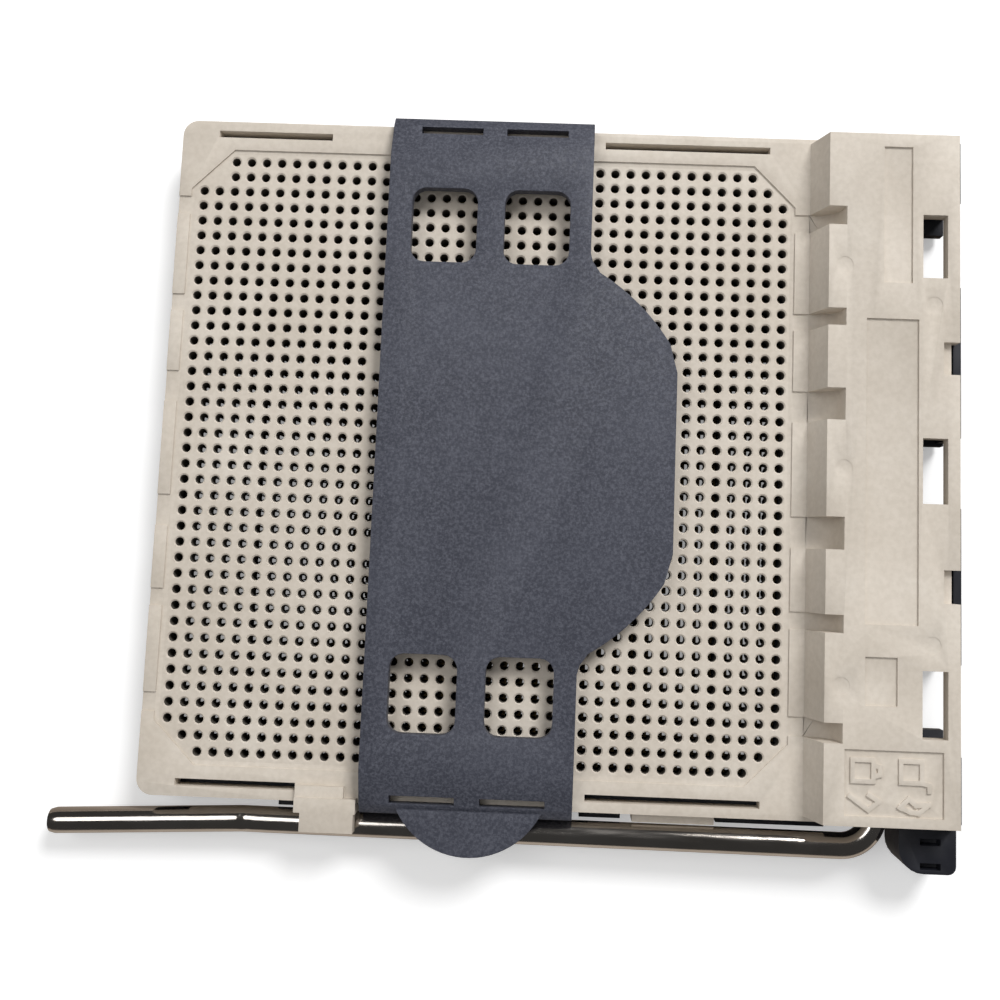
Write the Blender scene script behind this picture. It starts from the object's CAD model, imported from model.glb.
"""Looks of the lever socket: cream cover full of pin holes, black base, wire lever and slate pick-up cap."""

import math

import bmesh
import bpy
from mathutils import Matrix, Vector


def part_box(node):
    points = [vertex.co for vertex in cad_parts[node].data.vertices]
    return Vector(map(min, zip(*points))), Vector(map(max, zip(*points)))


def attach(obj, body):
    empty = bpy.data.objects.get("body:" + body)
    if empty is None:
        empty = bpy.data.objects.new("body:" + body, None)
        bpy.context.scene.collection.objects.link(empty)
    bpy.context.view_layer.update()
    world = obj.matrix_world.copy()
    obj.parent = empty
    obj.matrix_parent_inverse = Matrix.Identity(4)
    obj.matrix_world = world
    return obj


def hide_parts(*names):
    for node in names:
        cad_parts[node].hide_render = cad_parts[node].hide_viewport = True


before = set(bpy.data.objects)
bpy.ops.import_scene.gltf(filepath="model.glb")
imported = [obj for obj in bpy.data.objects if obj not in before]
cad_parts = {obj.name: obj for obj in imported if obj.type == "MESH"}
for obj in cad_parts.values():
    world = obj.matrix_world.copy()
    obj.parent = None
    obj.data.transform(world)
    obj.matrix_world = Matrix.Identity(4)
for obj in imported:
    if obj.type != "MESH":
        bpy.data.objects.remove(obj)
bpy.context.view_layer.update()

MM = 0.001

# Pin grid
PITCH = 1 * MM
COUNT = 39
MIDDLE = 20
VOID = 6
HALF_TRAVEL = 0.2475 * MM
HOLE_R = 0.28 * MM
MOUTH_R = 0.375 * MM
MOUTH_DEPTH = 0.2 * MM

# Levels above the board
PLATE_Z = 2.35 * MM
SEAT_Z = 3.6 * MM
FIELD_DEPTH = 0.12 * MM


# ---- Small tools -------------------------------------------------------------


def mm(*values):
    """Millimetres to metres, as a vector."""
    return Vector([v * MM for v in values])


def new_object(name, mesh):
    obj = bpy.data.objects.new(name, mesh)
    bpy.context.scene.collection.objects.link(obj)
    return obj


def from_bmesh(name, bm):
    mesh = bpy.data.meshes.new(name)
    bm.to_mesh(mesh)
    bm.free()
    return new_object(name, mesh)


def baked(obj, name):
    """A plain mesh object of what obj shows with its modifiers; obj itself goes away."""
    bpy.context.view_layer.update()
    seen = obj.evaluated_get(bpy.context.evaluated_depsgraph_get())
    mesh = bpy.data.meshes.new_from_object(seen)
    old = obj.data
    bpy.data.objects.remove(obj)
    if old.users == 0:
        bpy.data.meshes.remove(old)
    mesh.name = name
    return new_object(name, mesh)


def add_block(bm, low, high):
    """A closed block between two corners given in millimetres."""
    lo, hi = mm(*low), mm(*high)
    place = Matrix.Translation((lo + hi) / 2) @ Matrix.Diagonal((*(hi - lo), 1))
    bmesh.ops.create_cube(bm, size=1, matrix=place)


def add_prism(bm, outline, low, high, axis="z"):
    """A closed prism: an outline in millimetres, drawn across the named axis, from low to high along it."""
    place = {
        "z": lambda p, h: (p[0], p[1], h),
        "y": lambda p, h: (p[0], h, p[1]),
        "x": lambda p, h: (h, p[0], p[1]),
    }[axis]
    rings = [[bm.verts.new(mm(*place(p, h))) for p in outline] for h in (low, high)]
    n = len(outline)
    for i in range(n):
        bm.faces.new([rings[0][i], rings[0][(i + 1) % n], rings[1][(i + 1) % n], rings[1][i]])
    bm.faces.new(rings[0][::-1])
    bm.faces.new(rings[1])
    bmesh.ops.recalc_face_normals(bm, faces=bm.faces)


def arc(x, y, r, start, end, steps=8):
    """Points on an arc, in degrees."""
    turns = [math.radians(start + (end - start) * i / steps) for i in range(steps + 1)]
    return [(x + r * math.cos(a), y + r * math.sin(a)) for a in turns]


def tool(name, build):
    """A hidden solid made by build(bm), to cut with or to add."""
    bm = bmesh.new()
    build(bm)
    obj = from_bmesh(name, bm)
    obj.hide_render = True
    return obj


def boolean(body, other, operation):
    mod = body.modifiers.new(operation.lower(), "BOOLEAN")
    mod.operation = operation
    mod.solver = "EXACT"
    mod.use_self = True
    mod.object = other


def shaped(body, steps, name):
    """Applies (operation, tool) steps to a body and clears the tools away."""
    for operation, other in steps:
        boolean(body, other, operation)
    made = baked(body, name)
    for _, other in steps:
        bpy.data.objects.remove(other)
    return made


def eased(obj, width, segments=2, angle=35, stays=lambda edge: False):
    """Moulded edges: every sharp edge gets a small round, but for those that stay as they are."""
    bm = bmesh.new()
    bm.from_mesh(obj.data)
    bmesh.ops.remove_doubles(bm, verts=bm.verts, dist=0.002 * MM)
    bmesh.ops.dissolve_limit(bm, angle_limit=math.radians(1), verts=bm.verts, edges=bm.edges)
    limit = math.radians(angle)
    sharp = [e for e in bm.edges if e.is_manifold and e.calc_face_angle(0) > limit and not stays(e)]
    bmesh.ops.bevel(
        bm, geom=sharp, offset=width * MM, segments=segments, affect="EDGES", profile=0.5, clamp_overlap=True
    )
    bm.to_mesh(obj.data)
    bm.free()
    return obj


# ---- Materials -----------------------------------------------------------------


class Nodes:
    """A material's node tree, with its shader and a few short ways to add to it."""

    def __init__(self, name):
        self.material = bpy.data.materials.new(name)
        self.material.use_nodes = True
        self.tree = self.material.node_tree
        self.shader = self.tree.nodes["Principled BSDF"]
        self.place = self.tree.nodes.new("ShaderNodeTexCoord").outputs["Object"]

    def set(self, **values):
        for name, value in values.items():
            self.shader.inputs[name.replace("_", " ")].default_value = value
        return self

    def node(self, kind, inputs=(), **settings):
        made = self.tree.nodes.new(kind)
        for key, value in settings.items():
            setattr(made, key, value)
        for key, value in dict(inputs).items():
            if hasattr(value, "is_output"):
                self.tree.links.new(value, made.inputs[key])
            else:
                made.inputs[key].default_value = value
        return made

    def noise(self, size, detail=3, rough=0.55, stretch=None):
        """Noise whose features are about size millimetres across."""
        place = self.place
        if stretch:
            place = self.node("ShaderNodeMapping", {"Vector": place, "Scale": stretch}).outputs[0]
        settings = {"Vector": place, "Scale": 1 / (size * MM), "Detail": detail, "Roughness": rough}
        return self.node("ShaderNodeTexNoise", settings).outputs["Fac"]

    def ramp(self, value, *stops):
        made = self.node("ShaderNodeValToRGB", {"Fac": value})
        bar = made.color_ramp.elements
        while len(bar) < len(stops):
            bar.new(0.5)
        for element, (position, colour) in zip(bar, stops):
            element.position = position
            element.color = (*colour, 1) if len(colour) == 3 else (colour[0],) * 3 + (1,)
        return made.outputs["Color"]

    def mix(self, factor, a, b, blend="MIX"):
        made = self.node("ShaderNodeMix", data_type="RGBA", blend_type=blend)
        for socket, value in ((made.inputs["Factor"], factor), (made.inputs[6], a), (made.inputs[7], b)):
            if hasattr(value, "is_output"):
                self.tree.links.new(value, socket)
            else:
                socket.default_value = value if isinstance(value, float) else (*value, 1)
        return made.outputs[2]

    def maths(self, what, a, b=0.0):
        made = self.node("ShaderNodeMath", {0: a, 1: b}, operation=what)
        return made.outputs[0]

    def bump(self, height, depth, strength=1.0, under=None):
        """Relief of about depth millimetres."""
        inputs = {"Height": height, "Distance": depth * MM, "Strength": strength}
        if under is not None:
            inputs["Normal"] = under
        return self.node("ShaderNodeBump", inputs).outputs["Normal"]

    def link(self, value, name):
        self.tree.links.new(value, self.shader.inputs[name])
        return self


def cream_plastic(name="cream_moulded_plastic", tone=1.0):
    """Glass-filled cream moulding with a faint cloudy mottle and a fine grain; tone below 1 is darker."""
    m = Nodes(name).set(Metallic=0.0, IOR=1.5, Specular_IOR_Level=0.4 * tone)
    cloud = m.noise(6, 4)
    speck = m.noise(0.35, 2)
    creams = ((0.3, (0.60, 0.535, 0.455)), (0.55, (0.655, 0.59, 0.51)), (0.75, (0.70, 0.64, 0.56)))
    base = m.ramp(cloud, *[(at, tuple(c * tone for c in colour)) for at, colour in creams])
    grain = m.ramp(speck, (0.35, (0.93, 0.925, 0.915)), (0.65, (1.0, 1.0, 1.0)))
    m.link(m.mix(1.0, base, grain, "MULTIPLY"), "Base Color")
    m.link(m.ramp(m.noise(2.5, 3), (0.3, (0.52,)), (0.7, (0.66,))), "Roughness")
    m.link(m.bump(m.noise(0.12, 2), 0.006, 0.5, m.bump(m.noise(1.6, 3), 0.01, 0.4)), "Normal")
    return m.material


def black_plastic():
    """Blue-black moulding of the base."""
    m = Nodes("black_moulded_plastic").set(Metallic=0.0, IOR=1.5, Specular_IOR_Level=0.45)
    m.link(m.ramp(m.noise(3, 3), (0.3, (0.010, 0.011, 0.016)), (0.7, (0.019, 0.020, 0.028))), "Base Color")
    m.link(m.ramp(m.noise(1.2, 3), (0.3, (0.42,)), (0.7, (0.58,))), "Roughness")
    m.link(m.bump(m.noise(0.15, 2), 0.008, 0.5), "Normal")
    return m.material


def slate_plastic():
    """Spark-eroded slate moulding of the cap: fine sparkle of light grains on a dark ground."""
    m = Nodes("slate_textured_plastic").set(Metallic=0.0, IOR=1.48, Specular_IOR_Level=0.4)
    cloud = m.ramp(m.noise(5, 3), (0.3, (0.040, 0.043, 0.060)), (0.7, (0.055, 0.059, 0.080)))
    grain = m.ramp(m.noise(0.17, 2, 0.7), (0.4, (0.0, 0.0, 0.0)), (0.72, (1.0, 1.0, 1.0)))
    m.link(m.mix(grain, cloud, (0.105, 0.110, 0.138)), "Base Color")
    m.link(m.ramp(m.noise(0.3, 2), (0.3, (0.5,)), (0.7, (0.7,))), "Roughness")
    m.link(m.bump(m.noise(0.15, 3, 0.7), 0.014, 0.7), "Normal")
    return m.material


def bright_wire():
    """Drawn and nickel-plated wire, with faint draw lines and handling marks."""
    m = Nodes("bright_plated_wire").set(Metallic=1.0)
    m.link(m.ramp(m.noise(4, 3), (0.3, (0.52, 0.475, 0.43)), (0.7, (0.66, 0.62, 0.58))), "Base Color")
    scratch = m.noise(0.25, 3, 0.6, stretch=(0.08, 1, 1))
    m.link(m.ramp(scratch, (0.35, (0.10,)), (0.7, (0.20,))), "Roughness")
    m.link(m.bump(scratch, 0.004, 0.5, m.bump(m.noise(2.2, 2), 0.012, 0.6)), "Normal")
    return m.material


def rolled_steel():
    """Strip steel of the wear plates, brushed along its length."""
    m = Nodes("rolled_steel_strip").set(Metallic=1.0)
    lines = m.noise(0.12, 3, 0.6, stretch=(1, 0.03, 1))
    m.link(m.ramp(lines, (0.3, (0.46, 0.46, 0.47)), (0.7, (0.62, 0.62, 0.63))), "Base Color")
    m.link(m.ramp(lines, (0.3, (0.3,)), (0.7, (0.45,))), "Roughness")
    m.link(m.bump(lines, 0.003, 0.5), "Normal")
    return m.material


def gold_contact():
    """Thin gold over nickel on the sprung contacts."""
    m = Nodes("gold_plated_contact").set(Metallic=1.0)
    m.link(m.ramp(m.noise(0.4, 3), (0.35, (0.20, 0.145, 0.07)), (0.7, (0.28, 0.21, 0.11))), "Base Color")
    m.link(m.ramp(m.noise(0.2, 2), (0.3, (0.4,)), (0.7, (0.55,))), "Roughness")
    return m.material


def solder_metal():
    """Dull tin solder of the balls."""
    m = Nodes("tin_solder").set(Metallic=1.0)
    m.link(m.ramp(m.noise(0.3, 3), (0.3, (0.50, 0.51, 0.52)), (0.7, (0.66, 0.67, 0.68))), "Base Color")
    m.link(m.ramp(m.noise(0.15, 2), (0.3, (0.28,)), (0.7, (0.45,))), "Roughness")
    m.link(m.bump(m.noise(0.1, 2), 0.004, 0.4), "Normal")
    return m.material


CREAM = cream_plastic()
DEEP_CREAM = cream_plastic("cream_inside_bores", 0.22)
BLACK = black_plastic()
SLATE = slate_plastic()
WIRE = bright_wire()
STEEL = rolled_steel()
GOLD = gold_contact()
SOLDER = solder_metal()


def finished(obj, material, body, slot, *nodes):
    obj.data.materials.clear()
    obj.data.materials.append(material)
    for face in obj.data.polygons:
        face.material_index = 0
    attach(obj, body)
    if nodes:
        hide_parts(*nodes)
    return obj


# ---- Cover ----------------------------------------------------------------------

# Pads in the head's front face and the channels that lead to them: middles and lengths along the head
PAD_Y = (16, 9.5, 4, -4, -9.5, -16)
PAD_L = (1.2, 1.1, 2, 2, 1.1, 1.2)
SLOTS = ((-18.2, -10.7), (7.3, 18.1))
WINDOW_Y = (-14.15, 0, 14.15)
# Shallow panels of the head's roof, as opposite corners
PANELS = (
    ((24.95, 11.75), (26.75, 20.55)),
    ((23.9, -9.45), (27.15, 9.45)),
    ((23.95, -14.3), (25.9, -11.4)),
    ((22.75, -20.8), (28.7, -16.9)),
)
# Seat recess: half its width and half of its straight sides, between the cut corners
SEAT_HALF, SEAT_SIDE = 19.8, 17.1
CELL_SIDES = 12


def pin_at(col, row):
    """Whether a pin hole stands at a column and row counted from 1 at the front and the far side."""
    ends = min(col - 1, COUNT - col) + min(row - 1, COUNT - row)
    a, b = abs(col - MIDDLE), abs(row - MIDDLE)
    in_void = max(a, b) <= VOID or (a + b == 2 * VOID + 1 and max(a, b) == VOID + 1)
    return not (max(col, row) <= 2 or ends < 2 or in_void)


def cells(wanted):
    """Centres of the grid cells that have a pin hole, or of those that have none."""
    return [
        Vector(((col - MIDDLE) * PITCH, (MIDDLE - row) * PITCH, 0))
        for row in range(1, COUNT + 1)
        for col in range(1, COUNT + 1)
        if pin_at(col, row) == wanted
    ]


def cell_rim(bm, z):
    """Points on the square rim of a cell, one for each side of the pin hole."""
    spots = []
    for i in range(CELL_SIDES):
        turn = 2 * math.pi * (i + 0.5) / CELL_SIDES
        c, s = math.cos(turn), math.sin(turn)
        reach = PITCH / 2 / max(abs(c), abs(s))
        spots.append(bm.verts.new((c * reach, s * reach, z)))
    return spots


def cell_ring(bm, radius, z):
    """Points on a round ring of the pin hole."""
    turns = [2 * math.pi * (i + 0.5) / CELL_SIDES for i in range(CELL_SIDES)]
    return [bm.verts.new((radius * math.cos(a), radius * math.sin(a), z)) for a in turns]


def hole_cell():
    """One square cell of the plate with its funnel-mouthed pin hole, open at its four sides."""
    bm = bmesh.new()
    top = SEAT_Z - FIELD_DEPTH
    bands = [
        cell_rim(bm, top),
        cell_ring(bm, MOUTH_R, top),
        cell_ring(bm, HOLE_R, SEAT_Z - MOUTH_DEPTH),
        cell_ring(bm, HOLE_R, PLATE_Z),
        cell_rim(bm, PLATE_Z),
    ]
    for a, b in zip(bands, bands[1:]):
        for i in range(CELL_SIDES):
            j = (i + 1) % CELL_SIDES
            bm.faces.new([a[i], b[i], b[j], a[j]][::-1])
    return from_bmesh("hole_cell", bm)


def blank_cell():
    """A square cell of the plate with no hole, whose rim matches that of a hole cell."""
    bm = bmesh.new()
    bm.faces.new(cell_rim(bm, SEAT_Z - FIELD_DEPTH))
    bm.faces.new(cell_rim(bm, PLATE_Z)[::-1])
    return from_bmesh("blank_cell", bm)


def points_object(name, spots):
    mesh = bpy.data.meshes.new(name)
    mesh.from_pydata([tuple(p) for p in spots], [], [])
    return new_object(name, mesh)


def new_tree(name, result, **inputs):
    """An empty geometry node tree with named inputs and one geometry result."""
    tree = bpy.data.node_groups.new(name, "GeometryNodeTree")
    for key, kind in inputs.items():
        tree.interface.new_socket(key.replace("_", " "), in_out="INPUT", socket_type="NodeSocket" + kind)
    tree.interface.new_socket(result, in_out="OUTPUT", socket_type="NodeSocketGeometry")
    return tree


def cell_tree():
    """Geometry nodes: a copy of a cell on every point, made one surface."""
    inputs = {"Points": "Geometry", "Cell": "Object", "Join_distance": "Float", "Material": "Material"}
    tree = new_tree("cells_on_points", "Plate", **inputs)
    node, link = tree.nodes.new, tree.links.new
    given, result = node("NodeGroupInput"), node("NodeGroupOutput")
    cell, place = node("GeometryNodeObjectInfo"), node("GeometryNodeInstanceOnPoints")
    real, join = node("GeometryNodeRealizeInstances"), node("GeometryNodeMergeByDistance")
    paint = node("GeometryNodeSetMaterial")
    link(given.outputs["Cell"], cell.inputs["Object"])
    link(given.outputs["Points"], place.inputs["Points"])
    link(cell.outputs["Geometry"], place.inputs["Instance"])
    link(place.outputs["Instances"], real.inputs["Geometry"])
    link(real.outputs["Geometry"], join.inputs["Geometry"])
    link(given.outputs["Join distance"], join.inputs["Distance"])
    link(join.outputs["Geometry"], paint.inputs["Geometry"])
    link(given.outputs["Material"], paint.inputs["Material"])
    link(paint.outputs["Geometry"], result.inputs["Plate"])
    return tree


def grown(obj, tree, **values):
    """obj as geometry nodes make it from named inputs, as a plain mesh."""
    mod = obj.modifiers.new("nodes", "NODES")
    mod.node_group = tree
    items = [item for item in tree.interface.items_tree if item.item_type == "SOCKET"]
    sockets = {item.name: item.identifier for item in items if item.in_out == "INPUT"}
    for name, value in values.items():
        mod[sockets[name.replace("_", " ")]] = value
    return baked(obj, obj.name)


def joined(name, *objs):
    """One mesh object from several."""
    bm = bmesh.new()
    for obj in objs:
        bm.from_mesh(obj.data)
    made = from_bmesh(name, bm)
    for obj in objs:
        bpy.data.objects.remove(obj)
    return made


def softened(obj, angle):
    """Smooth shading, kept sharp where faces meet at more than the angle."""
    obj.data.shade_smooth()
    obj.data.set_sharp_from_angle(angle=math.radians(angle))
    return obj


def pin_field():
    """The plate's square of pin holes, closed at its sides."""
    tree = cell_tree()
    parts = []
    for name, spots, cell in (("holes", cells(True), hole_cell()), ("blanks", cells(False), blank_cell())):
        field = points_object(name, spots)
        parts.append(grown(field, tree, Cell=cell, Join_distance=0.001 * MM, Material=CREAM))
        bpy.data.objects.remove(cell)
    field = joined("cover_pin_field", *parts)
    bm = bmesh.new()
    bm.from_mesh(field.data)
    bmesh.ops.remove_doubles(bm, verts=bm.verts, dist=0.001 * MM)
    rim = [e for e in bm.edges if e.is_boundary]
    bmesh.ops.bridge_loops(bm, edges=rim)
    bmesh.ops.recalc_face_normals(bm, faces=bm.faces)
    bm.to_mesh(field.data)
    bm.free()
    return softened(field, 33)


def stroke(bm, points, width, low, high):
    """A raised line of a moulded sign, through points in millimetres."""
    for (x0, y0), (x1, y1) in zip(points, points[1:]):
        along = Vector((x1 - x0, y1 - y0)).normalized() * width / 2
        side = Vector((-along.y, along.x))
        a, b = Vector((x0, y0)) - along, Vector((x1, y1)) + along
        add_prism(bm, [tuple(a - side), tuple(b - side), tuple(b + side), tuple(a + side)], low, high)


def lever_signs(bm):
    """Shut and open padlocks and the lever's arrows, raised in the corner panel."""
    low, high, w = 5.8, 5.97, 0.28
    shut, wide = (23.25, -18.75), (26.15, -18.75)
    for x, y in (shut, wide):
        stroke(bm, [(x, y), (x + 1.25, y), (x + 1.25, y + 1.25), (x, y + 1.25), (x, y)], w, low, high)
    x, y = shut
    bow = [(x + 1.3, y + 0.95), (x + 1.65, y + 0.85), (x + 1.65, y + 0.4), (x + 1.3, y + 0.3)]
    stroke(bm, bow, w, low, high)
    x, y = wide
    stroke(bm, [(x + 1.25, y), (x + 1.7, y - 0.1), (x + 1.7, y - 0.45)], w, low, high)
    x, y = 23.1, -19.65
    stroke(bm, [(x, y), (x + 1.1, y - 0.75), (x + 1.75, y - 0.25), (x + 1.15, y + 0.1)], w, low, high)
    x, y = 26.1, -20.2
    steps = ((0, 0), (0.5, 0.5), (0.95, 0.15), (1.7, 0.2), (1.1, -0.3), (0.6, -0.25), (0, 0))
    stroke(bm, [(x + right, y + up) for right, up in steps], w, low, high)


def cover_solid(bm):
    """The plate with its two round front corners."""
    outline = [(22.3, 21.7)] + arc(-19.6, 20.7, 1, 90, 180) + arc(-19.6, -20.7, 1, 180, 270) + [(22.3, -21.7)]
    add_prism(bm, outline, 2.35, 3.6)


def head_solid(bm):
    """The raised head: a sloping front face and a roof over the lever's shaft."""
    outside = [(20.75, 2.35), (20.75, 3.6), (21.5, 6), (29.7, 6)]
    inside = [(29.7, 5), (23.4, 5), (22.3, 3.7), (22.3, 2.35)]
    add_prism(bm, outside + inside, -21.4, 21.4, "y")


def head_walls(bm):
    for side in (-1, 1):
        low, high = sorted((side * 20.75, side * 21.4))
        add_block(bm, (21.75, low, 3.6), (29.45, high, 5.1))
    add_block(bm, (23.997, -15.6, 1.95), (24.697, 15.6, 5.1))
    add_block(bm, (26.697, -15.6, 1.95), (27.397, 15.6, 5.1))


def hook_solid(bm):
    add_block(bm, (-10.6, -22.3, 2.35), (-6.8, -21.4, 4.13))
    add_block(bm, (-10.6, -21.7, 2.35), (-7.6, -20.7, 3.98))
    add_block(bm, (-10.2, -23.45, 3.23), (-6.9, -21.4, 4.13))


def clip_solids(bm):
    for side in (-1, 1):
        for x0, x1 in ((-17.9, -11), (7.6, 17.8)):
            low, high = sorted((side * 21.26, side * 21.7))
            add_block(bm, (x0, low, 1.1), (x1, high, 2.45))
            low, high = sorted((side * 20.9, side * 21.7))
            add_block(bm, (x0, low, 1.1), (x1, high, 1.5))
    add_block(bm, (10.3, -22.3, 1.1), (15.4, -21.4, 2.85))


def edge_slots(bm):
    for side in (-1, 1):
        for x0, x1 in SLOTS:
            add_block(bm, (x0, side * 20.85 - 0.225, 0), (x1, side * 20.85 + 0.225, 9))


def head_pockets(bm):
    outline = [(20.7, 3.48), (21.45, 3.6), (22, 3.9), (22.35, 4.35), (22.55, 5), (22.7, 7), (20.7, 7)]
    for y, long in zip(PAD_Y, PAD_L):
        add_prism(bm, outline, y - long / 2, y + long / 2, "y")


def square_with_cut_corners(half, side):
    """Outline of a square of twice half across, whose straight sides are twice side long."""
    quarter = [(side, half), (half, side), (half, -side), (side, -half)]
    return [(-side, half)] + quarter + [(-side, -half), (-half, -side), (-half, side)]


def seat_recess(bm):
    add_prism(bm, square_with_cut_corners(SEAT_HALF, SEAT_SIDE), 3.48, 4)


def seat_channels(bm):
    for y, long in zip(PAD_Y, PAD_L):
        add_block(bm, (-22, y - long / 2, 3.48), (20.75, y + long / 2, 4))


def head_panels(bm):
    for low, high in PANELS:
        add_block(bm, (*low, 5.85), (*high, 7))


def head_windows(bm):
    for y in WINDOW_Y:
        add_block(bm, (27.4, y - 2.025, 4), (28.95, y + 2.025, 7))
    for y in (-7.05, 7.05):
        add_block(bm, (28.7, y - 1.02, 5.5), (31, y + 1.02, 7))
        add_block(bm, (29.3, y - 1.02, 0), (31, y + 1.02, 5.6))


def shaft_way(bm):
    add_block(bm, (24.35, -25, 1.3), (26.745, -20.4, 3.9))


def ejector_marks(bm):
    for x, y in ((28.1, 10.4), (22.55, 0), (28, -10.6), (22.5, -13.2), (22.5, 12.8)):
        add_prism(bm, arc(x, y, 0.53, 0, 345, 23), 5.975, 7)


def field_opening(bm):
    """The opening that the pin field fills, with its corners cut along the seat recess's."""
    half = COUNT / 2
    add_prism(bm, square_with_cut_corners(half, SEAT_HALF + SEAT_SIDE - half), 0, 9)


def at_field(edge):
    """Whether an edge lies on the opening that the pin field fills."""
    half = COUNT / 2 * PITCH + 0.01 * MM
    return all(max(abs(v.co.x), abs(v.co.y)) < half for v in edge.verts)


def cover():
    body = tool("cover_moulding", cover_solid)
    steps = [("UNION", tool(f.__name__, f)) for f in (head_solid, head_walls, hook_solid, clip_solids)]
    cuts = (edge_slots, head_pockets, seat_recess, seat_channels, head_panels)
    cuts += (head_windows, shaft_way, ejector_marks, field_opening)
    steps += [("DIFFERENCE", tool(f.__name__, f)) for f in cuts]
    steps.append(("UNION", tool("lever_signs", lever_signs)))
    return softened(eased(shaped(body, steps, "cover_moulding"), 0.06, stays=at_field), 25)


finished(cover(), CREAM, "cover", "cream_moulding", "cover")
holes = finished(pin_field(), CREAM, "cover", "cream_moulding")
holes.data.materials.append(DEEP_CREAM)
for face in holes.data.polygons:
    if PLATE_Z < face.center.z - 0.01 * MM < SEAT_Z - MOUTH_DEPTH:
        face.material_index = 1


# ---- Base and pick-up cap -------------------------------------------------------


def cad_copy(node, name):
    """A merged copy of a CAD node's mesh, to finish and show in its place."""
    bm = bmesh.new()
    bm.from_mesh(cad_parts[node].data)
    bmesh.ops.remove_doubles(bm, verts=bm.verts, dist=0.001 * MM)
    obj = from_bmesh(name, bm)
    if "custom_normal" in obj.data.attributes:
        obj.data.attributes.remove(obj.data.attributes["custom_normal"])
    return obj


base = softened(eased(cad_copy("base", "base_moulding"), 0.05), 30)
finished(base, BLACK, "base", "black_moulding", "base")

cap = softened(eased(cad_copy("pickup_cap", "cap_moulding"), 0.07, 3, 25), 30)
finished(cap, SLATE, "cover", "slate_moulding", "pickup_cap")


# ---- Lever ---------------------------------------------------------------------


def bent_wire(start, heading, runs):
    """Centre line of a bent wire, from runs of (straight length, bend radius, bend angle, towards what)."""
    spot, along = Vector(start), Vector(heading).normalized()
    line = [spot.copy()]
    for length, radius, angle, towards in runs:
        spot += along * length
        line.append(spot.copy())
        if not angle:
            continue
        side = (Vector(towards) - along * Vector(towards).dot(along)).normalized()
        centre, axis = spot + side * radius, along.cross(side)
        steps = max(3, round(angle / 6))
        for i in range(steps):
            turn = Matrix.Rotation(math.radians(angle / steps), 3, axis)
            spot, along = centre + turn @ (spot - centre), turn @ along
            line.append(spot.copy())
    return line


def with_steps(line, spacing):
    """The line with more points on its long straights."""
    out = [line[0]]
    for a, b in zip(line, line[1:]):
        count = max(1, math.ceil((b - a).length / spacing))
        out += [a.lerp(b, (i + 1) / count) for i in range(count)]
    return out


def swept(name, line, radius_at, sides=48):
    """A round tube along a line, closed at both ends."""
    bm = bmesh.new()
    across = Vector((0, 0, 1))
    rings = []
    for i, p in enumerate(line):
        before, after = line[max(i - 1, 0)], line[min(i + 1, len(line) - 1)]
        along = (after - before).normalized()
        across = (across - along * across.dot(along)).normalized()
        other = along.cross(across)
        ring = []
        for k in range(sides):
            a = 2 * math.pi * k / sides
            out = across * math.cos(a) + other * math.sin(a)
            ring.append(bm.verts.new(p + out * radius_at(i, p, out)))
        rings.append(ring)
    for a, b in zip(rings, rings[1:]):
        for k in range(sides):
            bm.faces.new([a[k], a[(k + 1) % sides], b[(k + 1) % sides], b[k]])
    bm.faces.new(rings[0][::-1])
    bm.faces.new(rings[-1])
    bmesh.ops.recalc_face_normals(bm, faces=bm.faces)
    return from_bmesh(name, bm)


def lever():
    """The lever's wire: free end, shaft with its crank, elbow, and an arm with a nick near its tip."""
    wire_r, throw = 0.8 * MM, 0.35 * MM
    pivot = mm(25.3, 0, 2.95)
    crank = Vector((1, 0, -1)).normalized()
    dip = math.radians(1.2)
    arm = Vector((-math.cos(dip), 0, -math.sin(dip)))
    # The crank's two bends, the web between them and half its straight
    bend, web, half = math.radians(20), 0.3 * MM, 16 * MM
    bend_r = (throw - web * math.sin(bend)) / (2 * (1 - math.cos(bend)))
    journal = half + 2 * bend_r * math.sin(bend) + web * math.cos(bend)
    # The shaft's free end, the elbow's radius, and the arm's place and length
    free, elbow, arm_y, arm_length = 19.7 * MM, 2.1 * MM, 23.2 * MM, 51.7 * MM
    out, tip = (0, -1, 0), 12 * MM
    runs = [
        (free - journal, bend_r, 20, crank), (web, bend_r, 20, out),
        (2 * half, bend_r, 20, -crank), (web, bend_r, 20, out),
        (arm_y - elbow - journal, elbow, 90, arm),
        (arm_length - elbow - 12.3 * MM, 6 * MM, 3, out),
        (tip, 0, 0, None),
    ]
    line = with_steps(bent_wire(pivot + Vector((0, free, 0)), out, runs), 0.35 * MM)
    chamfer, nick_x = 0.3 * MM, -13.9 * MM
    first, last = line[0], line[-1]

    def radius_at(_, p, side):
        ends = min((p - first).length, (p - last).length)
        eased_r = wire_r - 0.3 * max(chamfer - ends, 0)
        near_nick = math.exp(-(((p.x - nick_x) / (0.25 * MM)) ** 2)) if p.y < -arm_y + wire_r else 0
        return eased_r - 0.14 * MM * near_nick * max(side.z, 0) ** 2

    return softened(swept("lever_wire_form", line, radius_at), 40)


finished(lever(), WIRE, "lever", "lever_wire", "lever")


# ---- Solder balls, contacts and wear plates ----------------------------------------


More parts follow.
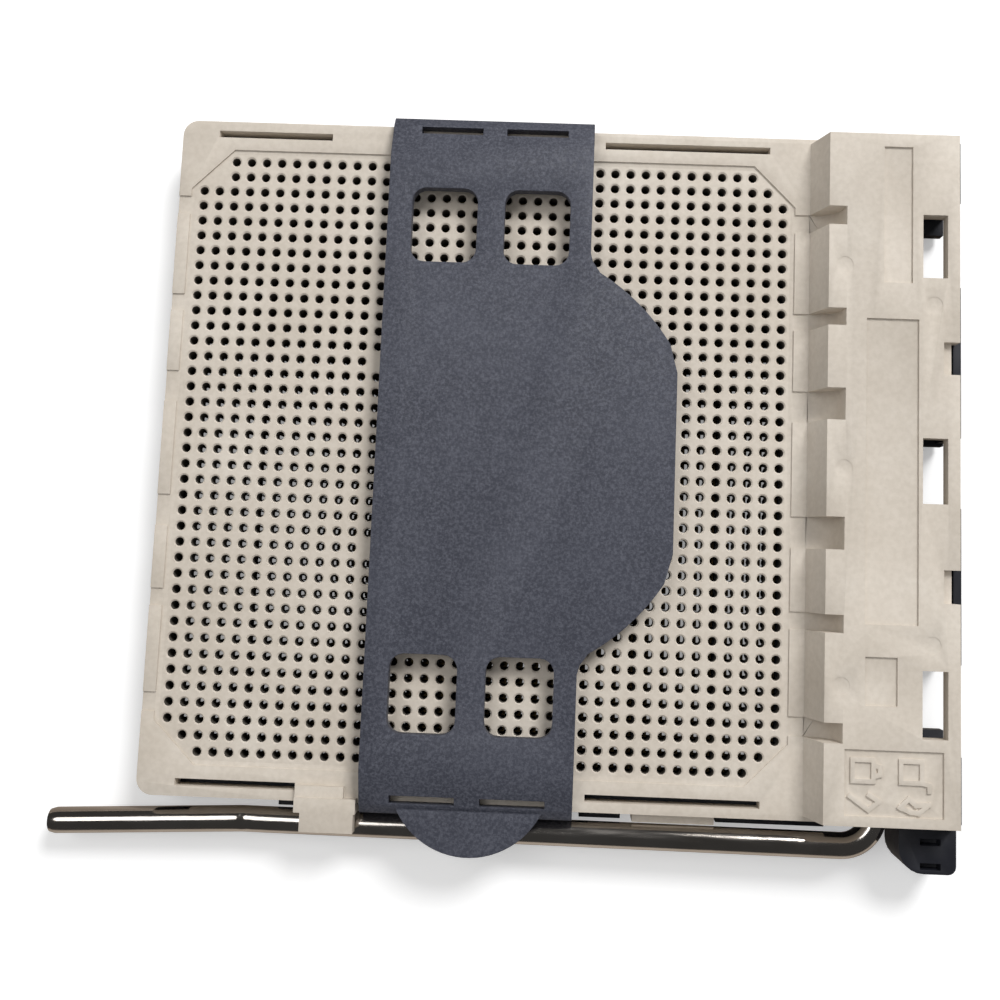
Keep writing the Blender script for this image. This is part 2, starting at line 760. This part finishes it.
def ball_tree():
    """Geometry nodes: a slightly flattened ball on every point."""
    inputs = {
        "Points": "Geometry",
        "Radius": "Float",
        "Flatness": "Float",
        "Seed": "Int",
        "Material": "Material",
    }
    tree = new_tree("balls_on_points", "Balls", **inputs)
    node, link = tree.nodes.new, tree.links.new
    given, result = node("NodeGroupInput"), node("NodeGroupOutput")
    ball, place = node("GeometryNodeMeshUVSphere"), node("GeometryNodeInstanceOnPoints")
    real, paint = node("GeometryNodeRealizeInstances"), node("GeometryNodeSetMaterial")
    ball.inputs["Segments"].default_value = 10
    ball.inputs["Rings"].default_value = 6
    spin = node("FunctionNodeRandomValue")
    turn, flat = node("ShaderNodeCombineXYZ"), node("ShaderNodeCombineXYZ")
    spin.inputs[3].default_value = 6.28
    flat.inputs["X"].default_value = flat.inputs["Y"].default_value = 1
    link(given.outputs["Radius"], ball.inputs["Radius"])
    link(given.outputs["Seed"], spin.inputs["Seed"])
    link(spin.outputs[1], turn.inputs["Z"])
    link(given.outputs["Flatness"], flat.inputs["Z"])
    link(given.outputs["Points"], place.inputs["Points"])
    link(ball.outputs["Mesh"], place.inputs["Instance"])
    link(turn.outputs[0], place.inputs["Rotation"])
    link(flat.outputs[0], place.inputs["Scale"])
    link(place.outputs["Instances"], real.inputs["Geometry"])
    link(real.outputs["Geometry"], paint.inputs["Geometry"])
    link(given.outputs["Material"], paint.inputs["Material"])
    link(paint.outputs["Geometry"], result.inputs["Balls"])
    return tree


def solder_balls():
    """A ball under each contact, which stands half the cover's travel from its pin hole at rest."""
    nodes = [f"solder_balls_{band}" for band in "abcd"]
    low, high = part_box(nodes[0])
    radius, height = 0.3 * MM, high.z - low.z
    shift = Vector((-HALF_TRAVEL, 0, (low.z + high.z) / 2))
    field = points_object("solder_ball_field", [p + shift for p in cells(True)])
    made = grown(field, ball_tree(), Radius=radius, Flatness=height / 2 / radius, Seed=7, Material=SOLDER)
    made.data.shade_smooth()
    return made, nodes


balls, ball_nodes = solder_balls()
finished(balls, SOLDER, "base", "solder", *ball_nodes)

for name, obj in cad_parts.items():
    metal = GOLD if name.startswith("contact_row") else STEEL if name.endswith("wear_plate") else None
    if metal:
        obj.data.materials.clear()
        obj.data.materials.append(metal)


# ---- Floor, light and camera ------------------------------------------------------


def floor():
    """A table that the camera sees as white with the object's shadow, and bright metal as brown patches."""
    bm = bmesh.new()
    reach = 2.0
    bm.faces.new([bm.verts.new((x * reach, y * reach, 0)) for x, y in ((-1, -1), (1, -1), (1, 1), (-1, 1))])
    obj = from_bmesh("floor", bm)
    m = Nodes("white_table").set(Roughness=0.9, Specular_IOR_Level=0.05, Emission_Color=(1, 1, 1, 1))
    seen = m.node("ShaderNodeLightPath").outputs["Is Camera Ray"]
    patches = m.ramp(m.noise(70, 2), (0.42, (0.12, 0.095, 0.075)), (0.58, (0.60, 0.53, 0.46)))
    m.link(m.mix(seen, patches, (0.92, 0.92, 0.92)), "Base Color")
    m.link(m.maths("MULTIPLY", seen, 0.3), "Emission Strength")
    obj.data.materials.append(m.material)


def lamp(name, place, size, power, target=(0, 0, 0), colour=(1, 1, 1)):
    light = bpy.data.lights.new(name, "AREA")
    light.shape, light.size, light.energy, light.color = "DISK", size, power, colour
    obj = bpy.data.objects.new(name, light)
    bpy.context.scene.collection.objects.link(obj)
    obj.location = place
    obj.rotation_euler = (Vector(target) - Vector(place)).to_track_quat("-Z", "Y").to_euler()


def white_room(level, mirrored):
    """A pale grey room that the camera sees as plain white, and darker where bright metal mirrors it."""
    world = bpy.data.worlds.new("white_room")
    bpy.context.scene.world = world
    world.use_nodes = True
    tree = world.node_tree
    back = tree.nodes["Background"]
    path = tree.nodes.new("ShaderNodeLightPath")
    dim, seen = tree.nodes.new("ShaderNodeMapRange"), tree.nodes.new("ShaderNodeMapRange")
    dim.inputs["To Min"].default_value = level
    dim.inputs["To Max"].default_value = mirrored
    seen.inputs["To Max"].default_value = 1
    tree.links.new(path.outputs["Is Glossy Ray"], dim.inputs["Value"])
    tree.links.new(path.outputs["Is Camera Ray"], seen.inputs["Value"])
    tree.links.new(dim.outputs["Result"], seen.inputs["To Min"])
    tree.links.new(seen.outputs["Result"], back.inputs["Strength"])
    back.inputs["Color"].default_value = (1, 1, 1, 1)


def camera():
    data = bpy.data.cameras.new("camera")
    data.lens, data.sensor_width = 43.2, 36
    data.shift_x, data.shift_y = -0.05, -0.08
    data.clip_start, data.clip_end = 0.005, 10
    obj = bpy.data.objects.new("camera", data)
    bpy.context.scene.collection.objects.link(obj)
    right, up = Vector((0.9992, 0.0368, -0.0125)), Vector((-0.0351, 0.993, 0.1127))
    back = Vector((0.0166, -0.1122, 0.9936))
    turn = Matrix((right, up, back)).transposed().to_4x4()
    obj.matrix_world = Matrix.Translation(mm(5.582, -6.024, 79.99)) @ turn
    bpy.context.scene.camera = obj


floor()
white_room(0.35, 0.05)
lamp("key_softbox", (0.15, 0.235, 0.29), 0.15, 1.15)
lamp("fill_softbox", (-0.2, 0.1, 0.45), 0.26, 0.45)
camera()
bpy.context.scene.view_settings.view_transform = "Standard"
